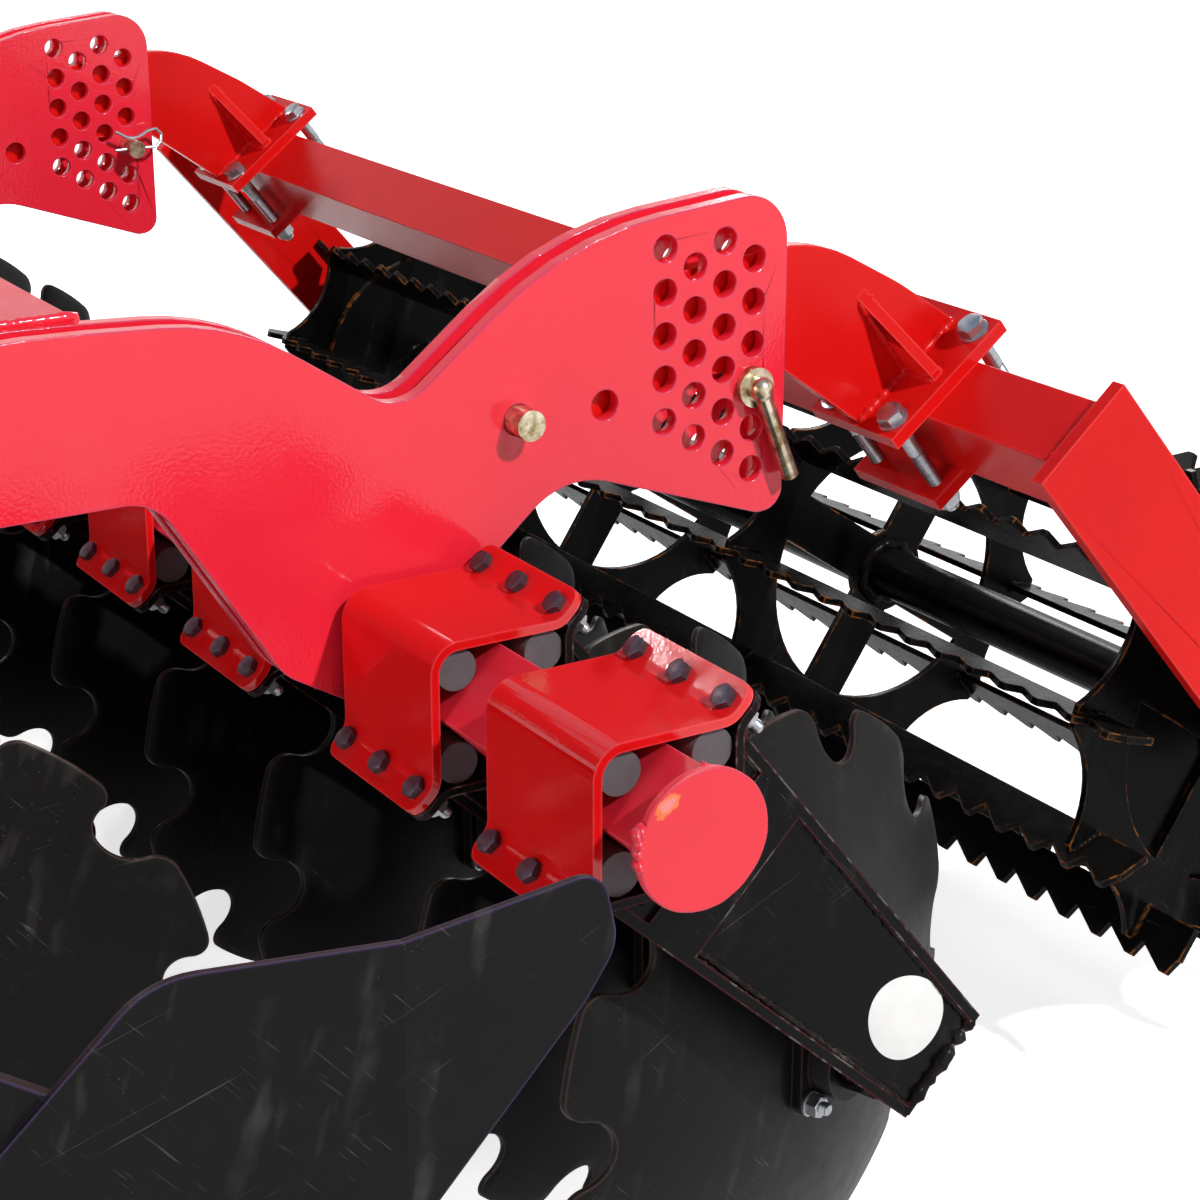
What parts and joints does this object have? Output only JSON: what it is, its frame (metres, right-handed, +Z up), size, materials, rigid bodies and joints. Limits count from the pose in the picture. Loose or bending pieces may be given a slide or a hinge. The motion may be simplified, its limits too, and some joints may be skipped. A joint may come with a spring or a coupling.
{
  "type": "mounted compact disc harrow",
  "caption": "Three-point mounted compact disc harrow: notched dished discs on rubber-cushioned arms in two opposed rows, with a height-set toothed-bar cage roller behind.",
  "frame": {"origin": "on the floor under the middle of the machine's bounding box", "axes": "+X to the machine's left, +Y to the rear, +Z up; the tractor pulls towards -Y"},
  "size_m": [2.5901, 1.9869, 1.244],
  "materials": {
    "red_paint": "semi gloss red enamel",
    "red_plate": "semi gloss red powder coat",
    "red_gloss": "gloss red enamel",
    "cord_rubber": "matt cut rubber",
    "black_paint": "gloss black enamel",
    "black_sheet": "satin black, scuffed",
    "yellow_zinc": "yellow passivated zinc",
    "black_disc": "satin black, scratched"
  },
  "bodies": {
    "frame": {"rear_beam": "red_paint", "front_beam": "red_paint", "beam_caps": "red_paint", "cross_tube": "red_paint", "mast": "red_paint", "mast_brace": "red_paint", "lower_link_lugs": "red_paint", "side_plates_left": "red_plate", "side_plates_right": "red_plate", "upper_clamps_rear": "red_gloss", "upper_clamps_front": "red_gloss", "rubber_cords_rear": "cord_rubber", "rubber_cords_front": "cord_rubber", "disc_arms_rear": "black_paint", "disc_arms_front": "black_paint", "side_deflector": "black_sheet", "deflector_carrier": "black_sheet", "pivot_pins": "yellow_zinc", "lock_pins": "yellow_zinc"},
    "roller_frame": {"roller_rail": "red_gloss", "swing_arms": "red_gloss", "counter_plates": "red_gloss", "roller_end_plates": "red_gloss", "roller_bearings": "black_paint"},
    "roller": {"roller_core": "black_paint", "roller_bars": "black_paint"},
    "rear_disc_1": {"disc_rear_1": "black_disc"},
    "rear_disc_2": {"disc_rear_2": "black_disc"},
    "rear_disc_3": {"disc_rear_3": "black_disc"},
    "rear_disc_4": {"disc_rear_4": "black_disc"},
    "rear_disc_5": {"disc_rear_5": "black_disc"},
    "rear_disc_6": {"disc_rear_6": "black_disc"},
    "rear_disc_7": {"disc_rear_7": "black_disc"},
    "rear_disc_8": {"disc_rear_8": "black_disc"},
    "rear_disc_9": {"disc_rear_9": "black_disc"},
    "front_disc_1": {"disc_front_1": "black_disc"},
    "front_disc_2": {"disc_front_2": "black_disc"},
    "front_disc_3": {"disc_front_3": "black_disc"},
    "front_disc_4": {"disc_front_4": "black_disc"},
    "front_disc_5": {"disc_front_5": "black_disc"},
    "front_disc_6": {"disc_front_6": "black_disc"},
    "front_disc_7": {"disc_front_7": "black_disc"}
  },
  "joints": [
    {"name": "roller_swing", "type": "hinge", "parent": "frame", "child": "roller_frame", "pos_m": [0, -0.05792, 0.794], "axis": [1, 0, 0], "range_deg": [0, 25]},
    {"name": "roller_spin", "type": "hinge", "parent": "roller_frame", "child": "roller", "pos_m": [0, 0.74108, 0.367], "axis": [1, 0, 0], "continuous": true},
    {"name": "spin_rear_1", "type": "hinge", "parent": "frame", "child": "rear_disc_1", "pos_m": [1.03, 0.03308, 0.29], "axis": [0.9397, 0.342, 0], "continuous": true},
    {"name": "spin_rear_2", "type": "hinge", "parent": "frame", "child": "rear_disc_2", "pos_m": [0.78, 0.03308, 0.29], "axis": [0.9397, 0.342, 0], "continuous": true},
    {"name": "spin_rear_3", "type": "hinge", "parent": "frame", "child": "rear_disc_3", "pos_m": [0.455, 0.03308, 0.29], "axis": [0.9397, 0.342, 0], "continuous": true},
    {"name": "spin_rear_4", "type": "hinge", "parent": "frame", "child": "rear_disc_4", "pos_m": [0.185, 0.03308, 0.29], "axis": [0.9397, 0.342, 0], "continuous": true},
    {"name": "spin_rear_5", "type": "hinge", "parent": "frame", "child": "rear_disc_5", "pos_m": [-0.085, 0.03308, 0.29], "axis": [0.9397, 0.342, 0], "continuous": true},
    {"name": "spin_rear_6", "type": "hinge", "parent": "frame", "child": "rear_disc_6", "pos_m": [-0.355, 0.03308, 0.29], "axis": [0.9397, 0.342, 0], "continuous": true},
    {"name": "spin_rear_7", "type": "hinge", "parent": "frame", "child": "rear_disc_7", "pos_m": [-0.625, 0.03308, 0.29], "axis": [0.9397, 0.342, 0], "continuous": true},
    {"name": "spin_rear_8", "type": "hinge", "parent": "frame", "child": "rear_disc_8", "pos_m": [-0.95, 0.03308, 0.29], "axis": [0.9397, 0.342, 0], "continuous": true},
    {"name": "spin_rear_9", "type": "hinge", "parent": "frame", "child": "rear_disc_9", "pos_m": [-1.2, 0.03308, 0.29], "axis": [0.9397, 0.342, 0], "continuous": true},
    {"name": "spin_front_1", "type": "hinge", "parent": "frame", "child": "front_disc_1", "pos_m": [0.625, -0.62192, 0.29], "axis": [0.9397, -0.342, 0], "continuous": true},
    {"name": "spin_front_2", "type": "hinge", "parent": "frame", "child": "front_disc_2", "pos_m": [0.355, -0.62192, 0.29], "axis": [0.9397, -0.342, 0], "continuous": true},
    {"name": "spin_front_3", "type": "hinge", "parent": "frame", "child": "front_disc_3", "pos_m": [0.085, -0.62192, 0.29], "axis": [0.9397, -0.342, 0], "continuous": true},
    {"name": "spin_front_4", "type": "hinge", "parent": "frame", "child": "front_disc_4", "pos_m": [-0.185, -0.62192, 0.29], "axis": [0.9397, -0.342, 0], "continuous": true},
    {"name": "spin_front_5", "type": "hinge", "parent": "frame", "child": "front_disc_5", "pos_m": [-0.455, -0.62192, 0.29], "axis": [0.9397, -0.342, 0], "continuous": true},
    {"name": "spin_front_6", "type": "hinge", "parent": "frame", "child": "front_disc_6", "pos_m": [-0.78, -0.62192, 0.29], "axis": [0.9397, -0.342, 0], "continuous": true},
    {"name": "spin_front_7", "type": "hinge", "parent": "frame", "child": "front_disc_7", "pos_m": [-1.03, -0.62192, 0.29], "axis": [0.9397, -0.342, 0], "continuous": true}
  ]
}
